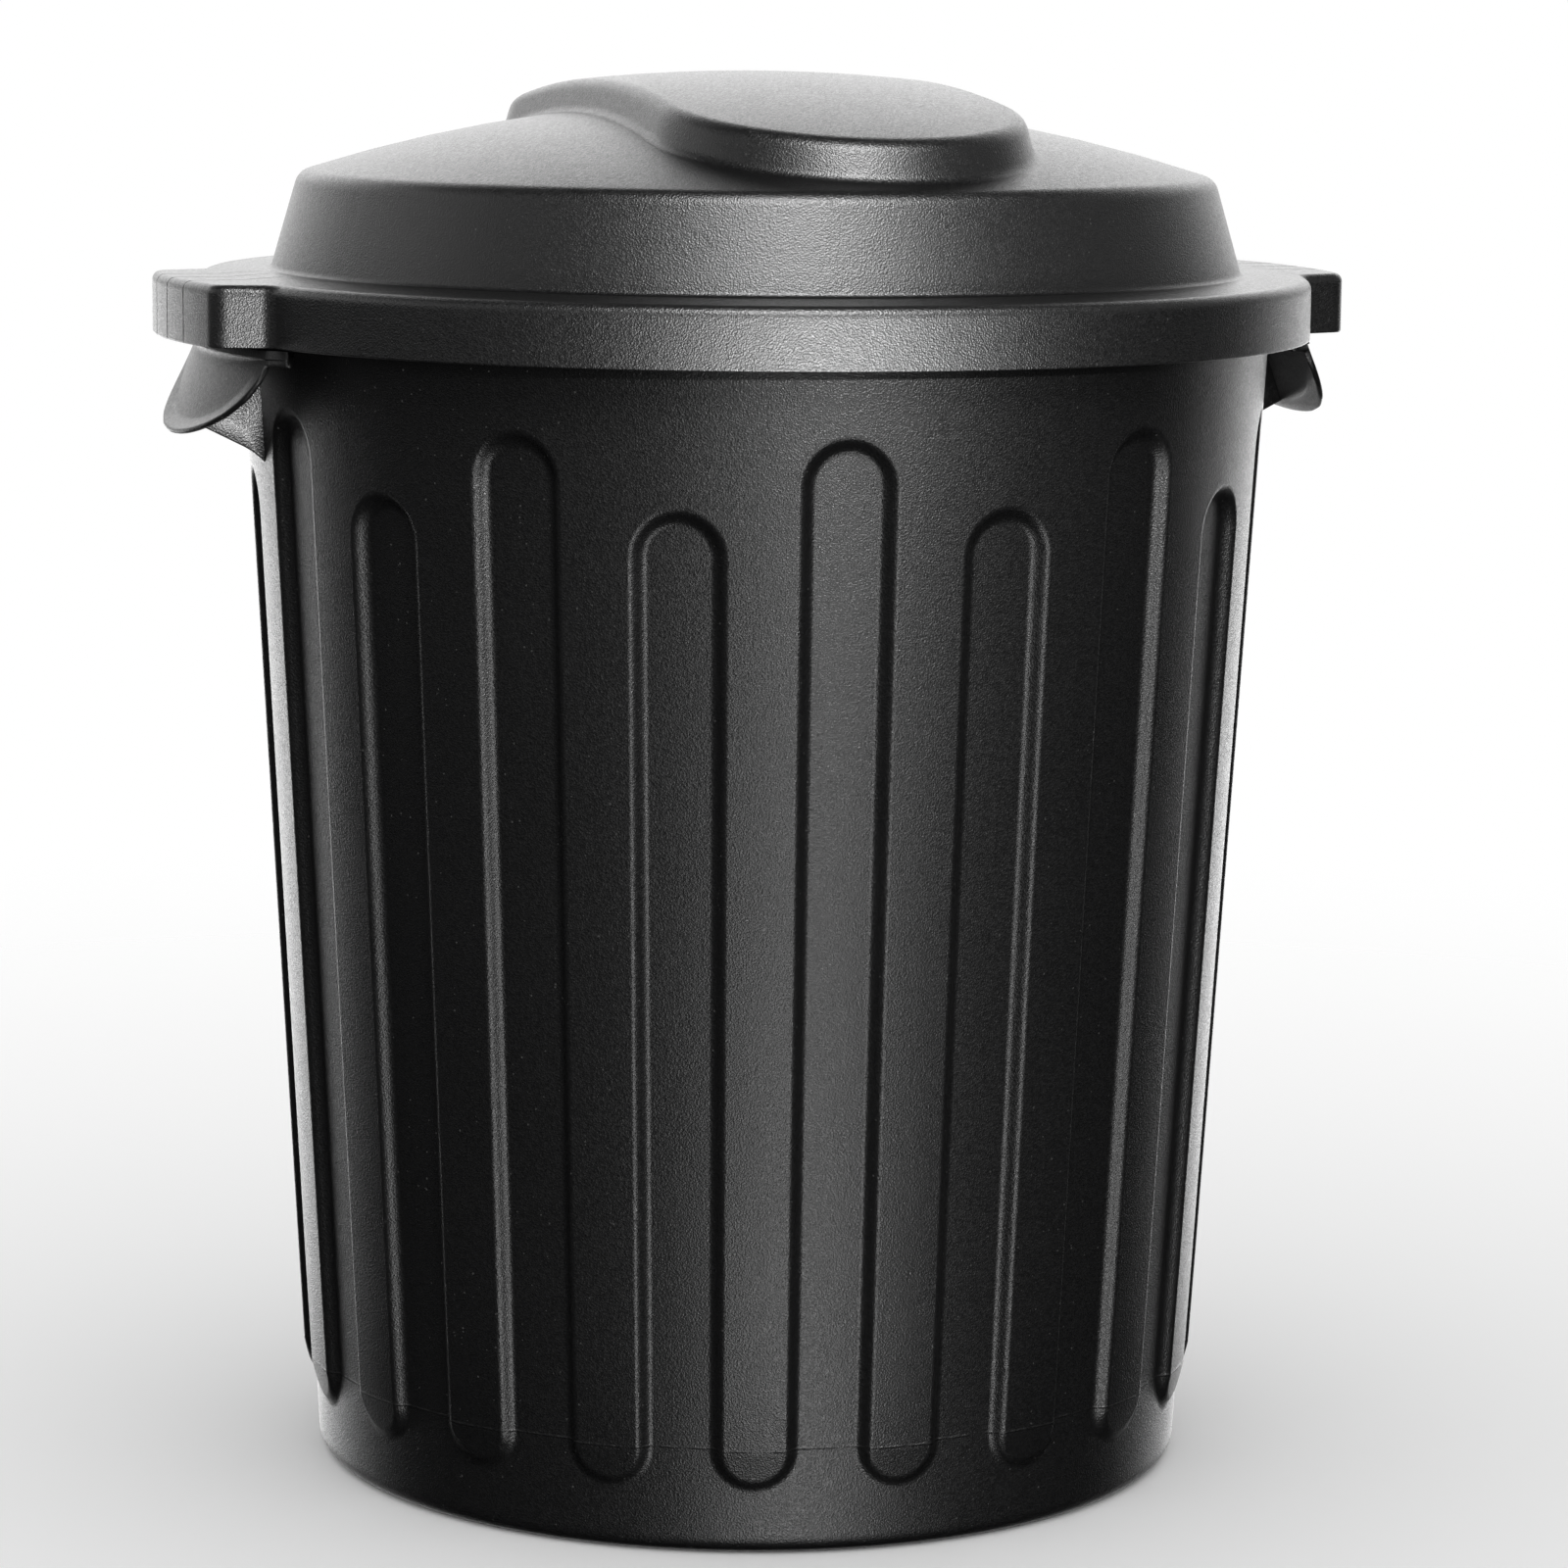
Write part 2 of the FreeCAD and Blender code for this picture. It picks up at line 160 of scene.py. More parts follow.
GROOVE_DEPTH = 0.8 * MM
EDGE_RADIUS = 4.2 * MM
TAB_EDGE_RADIUS = 3.6 * MM
EDGE_LEAD = 1.4
FILLET_LEAD = 2.2
SKIRT_EDGE = 0.7 * MM
FLANGE_FALL = 1.2 * MM
CROWN_FOOT_RADIUS = SKIRT_RADIUS - 29.5 * MM
CROWN_LEAN = math.tan(math.radians(16.2))
CAP_CREST = FLANGE_TOP + 70.4 * MM
CAP_RADIUS = 620.0 * MM
SHOULDER_CUT = 4.2 * MM
CROWN_FILLET_CUT = 2.0 * MM
GRIP_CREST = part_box("lid_grip")[1][2]
GRIP_RADIUS = 674.0 * MM
GRIP_HALF_WIDTH = 76.0 * MM
GRIP_HALF_LENGTH = 175.0 * MM
GRIP_DRAFT = math.tan(math.radians(16.5))
GRIP_EDGE_CUT = 4.5 * MM
GRIP_FOOT_CUT = 3.0 * MM
GRIP_SPINE_SHARE = 0.5
GRIP_RINGS = 0, 0.2, 0.4, 0.6, 0.8
EVEN_RINGS = 0.0, 0.25, 0.5, 0.75, 1.0

# Camera, from the photograph's own perspective. Its pitch, yaw and roll are radians.
CAMERA_AZIMUTH = -19.03
CAMERA_DISTANCE = 2245.4 * MM
CAMERA_HEIGHT = 631.9 * MM
CAMERA_PITCH = 0.1527
CAMERA_YAW = 0.0062
CAMERA_ROLL = 0.0098
FOCAL_PIXELS = 5395.6
IMAGE_PIXELS = 1600
SENSOR = 36.0
FAR_CLIP = 50.0

# Studio paper: the size of the floor, and how far from the bin it has faded away and begins to fade.
PAPER_WHITE = "#f6f6f6"
PAPER_ROUGHNESS = 0.95
FLOOR_SIZE = 8.0
FLOOR_GONE = 1.6
FLOOR_WHOLE = 0.5

# Surround in mirror reflections. Each band goes from one upright part of the ray's direction to another,
# and from one brightness or share to another. Back is the lit backdrop, and high is added to it. Foot
# and roof darken it near the floor and overhead, and front is the rest of the room. The backdrop is
# turned a little from the camera, and edged by the part of the direction that points at it.
BACK_LEVEL = 1.85
BANDS = {
    "back": (-0.17, -0.04, 5.6, BACK_LEVEL),
    "high": (0.12, 0.32, 0.0, 3.2 - BACK_LEVEL),
    "foot": (-0.34, -0.19, 0.15, 1.0),
    "roof": (0.85, 0.5, 0.0, 1.0),
    "front": (-0.1, 0.3, 0.005, 0.36),
}
BACK_TURN = 4.0
BACK_EDGE = 0.52, 0.92

# Soft boxes: azimuth from the camera, elevation, width and height, power in watts, and the pieces that
# each one lights, as a lamp with flags does. Without names it lights all.
UPPER_PIECES = "lid_moulding", "left_handle_web_plate", "right_handle_web_plate"
SOFT_BOXES = {
    "key box": (14, -7, (1.5, 0.4), 122.0, UPPER_PIECES),
    "wall box": (20, 17, (0.6, 0.06), 46.0, ("tub_moulding",)),
    "top box": (12, 46, (1.0, 0.9), 105.0, ()),
    "left box": (-95, 25, (2.0, 0.8), 5.0, UPPER_PIECES),
    "low box": (12, -26, (0.7, 0.5), 17.0, ()),
}
LAMP_DISTANCE = 2.2
LAMP_AIM = 0.0, 0.0, 0.28

# Finishes: the sizes of what shows in the plastic, its colours, and how rough each piece is.
PEBBLE = 0.65 * MM
FACET = 0.75 * MM
PEBBLE_HEIGHT = 0.11 * MM
GLINT = 0.06
CLOUD = 70.0 * MM
DUST_SPACING = 2.5 * MM
DUST_RADIUS = 0.45 * MM
DUST_FREE_SHARE = 0.7
WITNESS_WIDTH = 1.4 * MM
WITNESS_HEIGHT = 0.2 * MM
WITNESS_BREAK = 9.0 * MM
WITNESS_GAPS = 0.35, 0.55
PIGMENT_BLACK = "#0a0a0b"
CLOUDED_BLACK = "#0e0e0f"
DUST_GREY = "#3c3c3b"
POLYPROPYLENE_IOR = 1.49
TUB_ROUGHNESS = 0.37
LID_ROUGHNESS = 0.36
HANDLE_ROUGHNESS = 0.42
FULL_GRAIN = 1.0
HANDLE_GRAIN = 0.6


def polar(radius, angle, height):
    """Points from radius, angle in degrees and height, as arrays of any one shape."""
    turn = np.radians(angle)
    return np.stack(np.broadcast_arrays(radius * np.cos(turn), radius * np.sin(turn), height), axis=-1)


def unit(vectors):
    """Vectors divided by their lengths."""
    return vectors / np.linalg.norm(vectors, axis=-1, keepdims=True)


def rounded(keys, cuts, samples):
    """Path through key points (first axis), each corner replaced by a circular arc.

    The arc leaves the path one cut's length before the corner and joins it as far behind. It is the
    rational parabola with those two ends, the corner as control point and the cosine of half the turn
    as its weight. One more point on each side keeps the stretches between arcs straight when they are
    shaded smoothly. A cut of zero keeps the corner.
    """
    path = []
    s = np.linspace(0, 1, samples + 1).reshape((-1,) + (1,) * (keys[0].ndim))
    for index, corner in enumerate(keys):
        if not np.any(cuts[index]):
            path.append(corner[None])
            continue
        arrive = unit(corner - keys[index - 1])
        leave = unit(keys[index + 1] - corner)
        weight = np.sqrt(np.clip(1 + np.sum(arrive * leave, axis=-1, keepdims=True), 0, 2) / 2)
        start = corner - arrive * cuts[index]
        end = corner + leave * cuts[index]
        shares = (1 - s) ** 2, 2 * s * (1 - s) * weight, s ** 2
        arc = (shares[0] * start + shares[1] * corner + shares[2] * end) / sum(shares)
        spare = SUPPORT * cuts[index]
        path += [(start - arrive * spare)[None], arc, (end + leave * spare)[None]]
    return np.concatenate(path)


def grid_faces(rows, columns, wrap):
    """Quads of a grid of points, closed round its columns if wrap is set."""
    index = np.arange(rows * columns).reshape(rows, columns)
    if wrap:
        index = np.concatenate([index, index[:, :1]], axis=1)
    corners = index[:-1, :-1], index[:-1, 1:], index[1:, 1:], index[1:, :-1]
    return np.stack(corners, axis=-1).reshape(-1, 4)


def moulded_piece(name, grids, material, body, nodes):
    """Object made of closed grids: a list of (points, wrap, grain), welded where their points meet.

    Grain is 1 where the mould was textured and 0 where it was left smooth.
    """
    points, faces, grains = [], [], []
    start = 0
    for grid, wrap, grain in grids:
        rows, columns = grid.shape[:2]
        points.append(grid.reshape(-1, 3))
        faces.append(grid_faces(rows, columns, wrap) + start)
        grains.append(np.full(rows * columns, float(grain)))
        start += rows * columns
    mesh = bpy.data.meshes.new(name)
    mesh.from_pydata(np.concatenate(points), [], np.concatenate(faces).tolist())
    mesh.attributes.new("grain", "FLOAT", "POINT").data.foreach_set("value", np.concatenate(grains))
    shell = bmesh.new()
    shell.from_mesh(mesh)
    bmesh.ops.remove_doubles(shell, verts=shell.verts, dist=WELD)
    bmesh.ops.recalc_face_normals(shell, faces=shell.faces)
    shell.to_mesh(mesh)
    shell.free()
    mesh.polygons.foreach_set("use_smooth", np.ones(len(mesh.polygons), dtype=bool))
    mesh.materials.append(material)
    piece = bpy.data.objects.new(name, mesh)
    bpy.context.scene.collection.objects.link(piece)
    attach(piece, body)
    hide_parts(*nodes)
    return piece


def land_radius(height, inset):
    """Outside of the lands: a cone that leans in faster below the taper height."""
    lean = RIB_TAPER / (RIB_TAPER_HEIGHT - RIB_FOOT)
    return LAND_FOOT_RADIUS + WALL_SLOPE * height - inset - lean * np.maximum(RIB_TAPER_HEIGHT - height, 0)


def floor_radius(height, inset):
    """Floors of the flutes: a cone with the same apex as the lands' one."""
    return FLOOR_SHARE * (LAND_FOOT_RADIUS + WALL_SLOPE * height - inset)


def flute_profile(samples):
    """Cross-section of a flute's side: shares of the way across it, and shares of its height.

    A straight slope from the floor (0, 0) to the land (1, 1), with a parabola over each corner.
    """
    s = np.linspace(0, 1, samples + 1)
    hollow, edge = FLUTE_HOLLOW_SHARE, FLUTE_EDGE_SHARE
    across = np.concatenate([[-hollow * (1 + SUPPORT)], -hollow * (1 - s) ** 2 + hollow * s ** 2,
                             (1 - edge) * (1 - s) ** 2 + 2 * s * (1 - s) + (1 + edge) * s ** 2,
                             [1 + edge * (1 + SUPPORT)]])
    up = np.concatenate([[0], hollow * s ** 2, (1 - edge) * (1 - s) ** 2 + 2 * s * (1 - s) + s ** 2, [1]])
    return across, up


def half_patch(middle, near, far, border, profile, plain):
    """Grid over half a pitch: rows follow the outline, columns cross it from the middle to the border.

    The four keys are (angle, height) rows: the strip's middle line, the near and far edges of the
    flute's side, and the border of the patch. The profile is laid from near to far, and plain
    stretches on both sides of it are divided evenly. Returns angle, height and height share.
    """
    across, up = profile
    side = near[:, None] + across[None, :, None] * (far - near)[:, None]
    share = np.linspace(0, 1, plain + 1)[None, :, None]
    inner = middle[:, None] + share[:, :-1] * (side[:, :1] - middle[:, None])
    outer = side[:, -1:] + share[:, 1:] * (border[:, None] - side[:, -1:])
    grid = np.concatenate([inner, side, outer], axis=1)
    height_share = np.concatenate([np.full(plain, up[0]), up, np.full(plain, up[-1])])
    return grid[..., 0], grid[..., 1], np.broadcast_to(height_share, grid.shape[:2])


def strip_keys(near_half, far_half, near_reach, far_reach, centre, straight, sides, end, way, across):
    """Keys of a half patch whose strip runs straight to a centre height and ends in a half circle.

    Straight rows keep their height. The rows after them fan out round the centre: their angle comes
    from the border point that they run to, first up the side of the patch and then along its end.
    """
    half = PITCH / 2
    end_angles = half * (1 - across)
    border = np.concatenate([
        np.stack([np.full_like(straight, half), straight], axis=-1),
        np.stack([np.full_like(sides, half), sides], axis=-1),
        np.stack([end_angles, np.full_like(end_angles, end)], axis=-1),
    ])
    fan = border[len(straight):]
    mean_radius = (LAND_FOOT_RADIUS + LAND_RIM_RADIUS) / 2
    turn = np.arctan2(way * (fan[:, 1] - centre), np.radians(fan[:, 0]) * mean_radius)

    def outline(half_angle, reach, angle_share):
        height = centre + way * reach * np.sin(turn)
        arc = np.stack([half_angle * np.cos(turn) * angle_share, height], axis=-1)
        run = np.stack([np.full_like(straight, half_angle * angle_share), straight], axis=-1)
        return np.concatenate([run, arc])

    middle = outline(near_half, MIDDLE_LINE_SHARE * near_reach, 0)
    return middle, outline(near_half, near_reach, 1), outline(far_half, far_reach, 1), border


def fluted_skin(inset, rows, samples, plain, grain):
    """Fluted wall at one inset, as half patches round every flute above and every land below.

    The radius goes from the flute floors' cone to the lands' cone by the height share. Tall and short
    flutes share the heights of the points on the line between them. Rows gives the number of rows on
    each stretch, samples the points in a rounding, and plain those on the stretches beside it.
    """
    grow = math.degrees(inset / LAND_RIM_RADIUS)
    floor_half = FLUTE_FLOOR_HALF + grow
    mouth_half = FLUTE_MOUTH_HALF + grow
    sine = lambda angle: math.sin(math.radians(angle))
    ends = np.linspace(0, 1, rows["end"] + 1)[1:]

    def centre_under(top):
        reach = sine(FLUTE_MOUTH_HALF)
        return (top - LAND_FOOT_RADIUS * reach) / (1 + WALL_SLOPE * reach)

    short_centre, tall_centre = centre_under(SHORT_FLUTE_TOP), centre_under(TALL_FLUTE_TOP)
    run = np.linspace(WALL_MIDDLE, short_centre, rows["run"] + 1)
    between = np.linspace(short_centre, tall_centre, rows["between"] + 1)[1:]
    above = np.linspace(tall_centre, RIM_SEAM, rows["side"] + 1)[1:]
    blocks = []
    for first, centre, straight, sides in (
        (-90 + PITCH / 2, short_centre, run, np.concatenate([between, above])),
        (-90 - PITCH / 2, tall_centre, np.concatenate([run, between]), above),
    ):
        floor_reach = floor_radius(centre, inset) * sine(floor_half)
        mouth_reach = land_radius(centre, inset) * sine(mouth_half)
        keys = strip_keys(floor_half, mouth_half, floor_reach, mouth_reach, centre, straight, sides,
                          RIM_SEAM, 1, ends)
        blocks.append((first, 2 * PITCH, FLUTE_COUNT // 2, half_patch(*keys, flute_profile(samples), plain)))

    rib_land, rib_floor = PITCH / 2 - mouth_half, PITCH / 2 - floor_half
    foot_sine = sine(PITCH / 2 - FLUTE_FLOOR_HALF) * FLOOR_SHARE
    centre = (RIB_FOOT + LAND_FOOT_RADIUS * foot_sine) / (1 - WALL_SLOPE * foot_sine)
    straight = np.linspace(WALL_MIDDLE, centre, rows["run"] + 1)
    sides = np.linspace(centre, HEEL_TOP, rows["side"] + 1)[1:]
    floor_reach = centre - RIB_FOOT
    land_reach = (centre - RIB_FOOT) * rib_land / rib_floor
    keys = strip_keys(rib_land, rib_floor, land_reach, floor_reach, centre, straight, sides,
                      HEEL_TOP, -1, ends)
    across, up = flute_profile(samples)
    profile = 1 - across[::-1], up[::-1]
    blocks.append((0, PITCH, FLUTE_COUNT, half_patch(*keys, profile, plain)))

    grids = []
    for first, step, count, (angle, height, share) in blocks:
        low = floor_radius(height, inset)
        radius = low + share * (land_radius(height, inset) - low)
        for place in first + step * np.arange(count):
            grids += [(polar(radius, place + side * angle, height), False, grain) for side in (-1, 1)]
    return grids


def spun_profile(profile, columns, grain):
    """Surface of revolution: a profile of (radius, height) carried round the axis."""
    angles = np.arange(columns) * 360 / columns
    return polar(profile[:, :1], angles[None], profile[:, 1:]), True, grain


def tub_moulding(material):
    """The tub: fluted outer and inner skins, joined by the turned rim above and by the base below."""
    fine = {"run": 4, "between": 8, "side": 9, "end": 10}
    coarse = {"run": 3, "between": 5, "side": 6, "end": 10}
    columns = 2 * fine["end"] * FLUTE_COUNT
    under = TUB_TOP - WALL
    lip_inside = RIM_RADIUS - WALL
    rim_keys = np.array([
        (land_radius(RIM_SEAM, 0), RIM_SEAM),
        (land_radius(under, 0), under),
        (lip_inside, under),
        (lip_inside, RIM_SEAM),
        (RIM_RADIUS, RIM_SEAM),
        (RIM_RADIUS, TUB_TOP),
        (land_radius(TUB_TOP, WALL), TUB_TOP),
        (land_radius(RIM_SEAM, WALL), RIM_SEAM),
    ])
    rim = rounded(rim_keys, [0, WALL, WALL, RIM_EDGE / 2, RIM_EDGE / 2, RIM_EDGE, RIM_EDGE, 0], samples=4)

    heel = floor_radius(0, 0)
    foot = heel - HEEL_RADIUS - FOOT_RING_WIDTH
    base_keys = np.array([
        (floor_radius(HEEL_TOP, 0), HEEL_TOP),
        (heel, 0),
        (foot, 0),
        (foot - FOOT_RING_STEP, FLOOR_RECESS),
        (foot / 2, FLOOR_RECESS),
        (0, FLOOR_RECESS),
    ])
    base = rounded(base_keys, [0, HEEL_RADIUS * HEEL_CUT_SHARE, RIM_EDGE, RIM_EDGE, 0, 0], samples=6)
    floor_top = FLOOR_RECESS + FLOOR_THICKNESS
    channel = foot + WALL
    inner_keys = np.array([
        (floor_radius(HEEL_TOP, WALL), HEEL_TOP),
        (floor_radius(FLOOR_THICKNESS, WALL), FLOOR_THICKNESS),
        (channel, FLOOR_THICKNESS),
        (channel - FOOT_RING_STEP, floor_top),
        (foot / 2, floor_top),
        (0, floor_top),
    ])
    inside = rounded(inner_keys, [0, FLOOR_RECESS * HEEL_CUT_SHARE, RIM_EDGE, RIM_EDGE, 0, 0], samples=6)

    grids = fluted_skin(0, fine, samples=4, plain=3, grain=1)
    grids += fluted_skin(WALL, coarse, samples=2, plain=2, grain=0)
    grids += [spun_profile(profile, columns, grain) for profile, grain in ((rim, 1), (base, 1), (inside, 0))]
    nodes = ["tub_wall", "tub_base", "tub_rim"]
    return moulded_piece("tub_moulding", grids, material, "tub", nodes)


def tab_end_angle(radius):
    """Angle at which a tab's end meets a circle.

    The end is a straight line in plan. Its normal is turned in by the draw from the upright across
    the tab, and its distance from the axis follows from where it leaves the skirt.
    """
    normal = 90 - TAB_DRAW
    root = math.degrees(math.asin(TAB_HALF_WIDTH / SKIRT_RADIUS))
    distance = SKIRT_RADIUS * math.cos(math.radians(normal - root))
    return normal - math.degrees(math.acos(distance / radius))


def quarter_outline():
    """A quarter of the lid's outline in plan, from the middle of the tab on +X to +Y.

    Half of the tab's arc with its grooves, a rounded corner, the tab's end wall, a hollow fillet and
    the skirt's arc. Returns radius, angle and the depth share of the grooves.
    """
    notch = np.array(GROOVE_PLACES)
    step = math.degrees(GROOVE_HALF_WIDTH / TAB_RADIUS)
    corner = math.degrees(TAB_CORNER / TAB_RADIUS)
    fillet = math.degrees(TAB_FILLET / SKIRT_RADIUS)
    last = GROOVE_ANGLES[-1]
    tab_corner, tab_root = tab_end_angle(TAB_RADIUS), tab_end_angle(SKIRT_RADIUS)
    tab_angles = np.concatenate([
        notch[notch >= 0] * step,
        np.linspace(2 * step, last - 2 * step, 5)[1:-1],
        last + notch * step,
        np.linspace(last + 2 * step, tab_corner - CLEAR_CUTS * corner, 5)[1:-1],
    ])
    depth = np.zeros_like(tab_angles)
    for angle in GROOVE_ANGLES:
        depth = np.maximum(depth, np.clip(2 * (1 - np.abs(tab_angles - angle) / step), 0, 1))
    key_radii = np.array([TAB_RADIUS, TAB_RADIUS, SKIRT_RADIUS, SKIRT_RADIUS])
    key_angles = np.array([tab_corner - 2 * corner, tab_corner, tab_root, tab_root + 2 * fillet])
    keys = polar(key_radii, key_angles, 0.0)[:, :2]
    bend = rounded(keys, [0, TAB_CORNER, TAB_FILLET, 0], samples=7)[1:-1]
    skirt_angles = np.linspace(tab_root + CLEAR_CUTS * fillet, 90, SKIRT_COLUMNS + 1)[1:]
    tab_arc, skirt_arc = np.full(len(tab_angles), TAB_RADIUS), np.full(len(skirt_angles), SKIRT_RADIUS)
    radius = np.concatenate([tab_arc, np.hypot(*bend.T), skirt_arc])
    angle = np.concatenate([tab_angles, np.degrees(np.arctan2(bend[:, 1], bend[:, 0])), skirt_angles])
    return radius, angle, np.concatenate([depth, np.zeros(len(radius) - len(depth))])


def full_turn(quarter, half_turn=0):
    """Values of a quarter carried round: mirrored, or as angles that run on if a half turn is given."""
    mirrored = half_turn - quarter if half_turn else quarter
    half = np.concatenate([quarter, mirrored[-2::-1]])
    return np.concatenate([half, half[1:-1] + half_turn])


def lid_columns():
    """Columns of the lid: plan points of its outline, outward normals, groove depth and crown angle.

    The crown angle runs evenly with the length of the outline, so that columns never bunch up where
    the outline turns in at a tab's end.
    """
    radius, angle, depth = quarter_outline()
    radius, angle, depth = full_turn(radius), full_turn(angle, half_turn=180), full_turn(depth)
    plan = polar(radius, angle, 0.0)[:, :2]
    length = np.linalg.norm(np.roll(plan, -1, axis=0) - plan, axis=1)
    run = np.concatenate([[0], np.cumsum(length)[:-1]])
    along = unit(np.roll(plan, -1, axis=0) - np.roll(plan, 1, axis=0))
    normal = np.stack([along[:, 1], -along[:, 0]], axis=-1)
    return plan, normal, depth, 360 * run / length.sum()


def pad_outline(crown_angle):
    """Stadium of the grip in plan, by its length: points, outward normals and points on its middle line.

    Straight sides on +X and -X are joined by half circles on +Y and -Y.
    """
    straight = GRIP_HALF_LENGTH - GRIP_HALF_WIDTH
    quarter = straight + GRIP_HALF_WIDTH * math.pi / 2
    folded = np.abs((crown_angle + 90) % 180 - 90) / 90 * quarter
    turn = np.maximum(folded - straight, 0) / GRIP_HALF_WIDTH
    along = np.minimum(folded, straight)
    sign_x = np.where(np.abs(crown_angle % 360 - 180) < 90, -1, 1)
    sign_x = np.where(np.isclose(np.abs(crown_angle % 360 - 180), 90), 0, sign_x)
    sign_y = np.where(crown_angle % 360 <= 180, 1, -1)
    normal = np.stack([sign_x * np.cos(turn), sign_y * np.sin(turn)], axis=-1)
    centre = np.stack([np.zeros_like(along), sign_y * along], axis=-1)
    ahead = sign_y * GRIP_SPINE_SHARE * GRIP_HALF_WIDTH * np.sin(turn)
    spine = centre + np.stack([np.zeros_like(turn), ahead], axis=-1)
    return centre + GRIP_HALF_WIDTH * normal, normal, spine


def dome(crest, radius, plan):
    """Height of a sphere's top above plan points."""
    return crest - radius + np.sqrt(radius ** 2 - np.sum(plan ** 2, axis=-1))


def pad_edge(outline, normal, crest, radius, inset):
    """Line where the pad's drafted wall meets a dome: the outline moved along its normal.

    The move is the draft times the height above or below the reference level, found by repeating.
    """
    level = dome(CAP_CREST, CAP_RADIUS, np.array([GRIP_HALF_WIDTH, 0.0]))
    plan = outline
    for _ in range(SETTLING_ROUNDS):
        move = (level - dome(crest, radius, plan)) * GRIP_DRAFT - inset
        plan = outline + normal * move[:, None]
    return plan


def lid_skin(inset, samples):
    """One skin of the lid, row by row from the grip's spine out to the bottom of the skirt.

    Key rows are closed lines round the lid: rings on the grip's domed top, its edge and foot, rings
    on the cap, the shoulder, the crown's foot, the flange's edge and the skirt. Corners between them
    are rounded, and each point of a row belongs to one column of the lid.
    """
    plan, normal, depth, crown_angle = lid_columns()
    outline, pad_normal, spine = pad_outline(crown_angle)
    raised = lambda flat, height: np.column_stack([flat, np.broadcast_to(height, len(flat))])
    on_top = lambda flat: raised(flat, dome(GRIP_CREST - inset, GRIP_RADIUS - inset, flat))
    on_cap = lambda flat: raised(flat, dome(CAP_CREST - inset, CAP_RADIUS - inset, flat))

    # Grip.
    edge = pad_edge(outline, pad_normal, GRIP_CREST - inset, GRIP_RADIUS - inset, inset)
    foot = pad_edge(outline, pad_normal, CAP_CREST - inset, CAP_RADIUS - inset, inset)
    keys = [on_top(spine + share * (edge - spine)) for share in GRIP_RINGS]
    keys += [on_top(edge), on_cap(foot)]
    cuts = [0] * len(GRIP_RINGS) + [GRIP_EDGE_CUT, GRIP_FOOT_CUT]

    # Cap and crown.
    ring = polar(1.0, crown_angle, 0.0)[:, :2]
    leaned = inset * math.hypot(CROWN_LEAN, 1)
    shoulder_radius = CROWN_FOOT_RADIUS - leaned
    for _ in range(SETTLING_ROUNDS):
        height = dome(CAP_CREST - inset, CAP_RADIUS - inset, np.array([shoulder_radius, 0.0]))
        shoulder_radius = CROWN_FOOT_RADIUS - leaned - (height - FLANGE_TOP) * CROWN_LEAN
    shoulder = ring * shoulder_radius
    way = unit(shoulder - foot)
    first, last = foot + way * CLEAR_CUTS * GRIP_FOOT_CUT, shoulder - way * CLEAR_CUTS * SHOULDER_CUT
    keys += [on_cap(first + share * (last - first)) for share in EVEN_RINGS]
    keys += [on_cap(shoulder)]
    cuts += [0] * len(EVEN_RINGS) + [SHOULDER_CUT]
    flange = FLANGE_TOP - inset
    keys += [raised(ring * (CROWN_FOOT_RADIUS - leaned), flange)]
    cuts += [CROWN_FILLET_CUT]

    # Flange and skirt, with the fall and the grooves on the outer skin only.
    outer = inset == 0
    rim = plan - normal * inset
    rim_depth = depth * GROOVE_DEPTH * outer
    edge_top = flange - FLANGE_FALL * outer - rim_depth
    tab_share = (np.linalg.norm(plan, axis=1) - SKIRT_RADIUS) / (TAB_RADIUS - SKIRT_RADIUS)
    edge_cut = (EDGE_RADIUS + (TAB_EDGE_RADIUS - EDGE_RADIUS) * np.clip(tab_share, 0, 1))[:, None]
    inward = rim - normal * EDGE_LEAD * edge_cut
    fall_start = CROWN_FOOT_RADIUS + FILLET_LEAD * CROWN_FILLET_CUT
    fall_end = SKIRT_RADIUS - EDGE_LEAD * EDGE_RADIUS
    for share in EVEN_RINGS:
        flat = ring * fall_start + share * (inward - ring * fall_start)
        fallen = np.clip((np.linalg.norm(flat, axis=1) - fall_start) / (fall_end - fall_start), 0, 1)
        keys += [raised(flat, flange - FLANGE_FALL * fallen * outer - share * rim_depth)]
    grooved = rim - normal * rim_depth[:, None]
    keys += [raised(grooved, edge_top), raised(grooved, SKIRT_BOTTOM)]
    keys += [raised(plan - normal * WALL / 2, SKIRT_BOTTOM)]
    cuts += [0] * len(EVEN_RINGS) + [edge_cut - inset, SKIRT_EDGE, 0]
    return rounded(keys, cuts, samples)


def lid_moulding(material):
    """The lid: an outer and an inner skin, joined by the rounded lower edge of the skirt."""
    grids = [(lid_skin(0, samples=6), True, 1), (lid_skin(WALL, samples=4), True, 0)]
    nodes = ["lid_flange", "lid_crown", "lid_grip", "left_lid_tab", "right_lid_tab"]
    return moulded_piece("lid_moulding", grids, material, "lid", nodes)


def flap_radius(height):
    """Outside of a handle's flap: a cone that widens downwards."""
    return FLAP_SHOULDER_RADIUS + FLAP_SLOPE * (FLAP_SHOULDER - height)


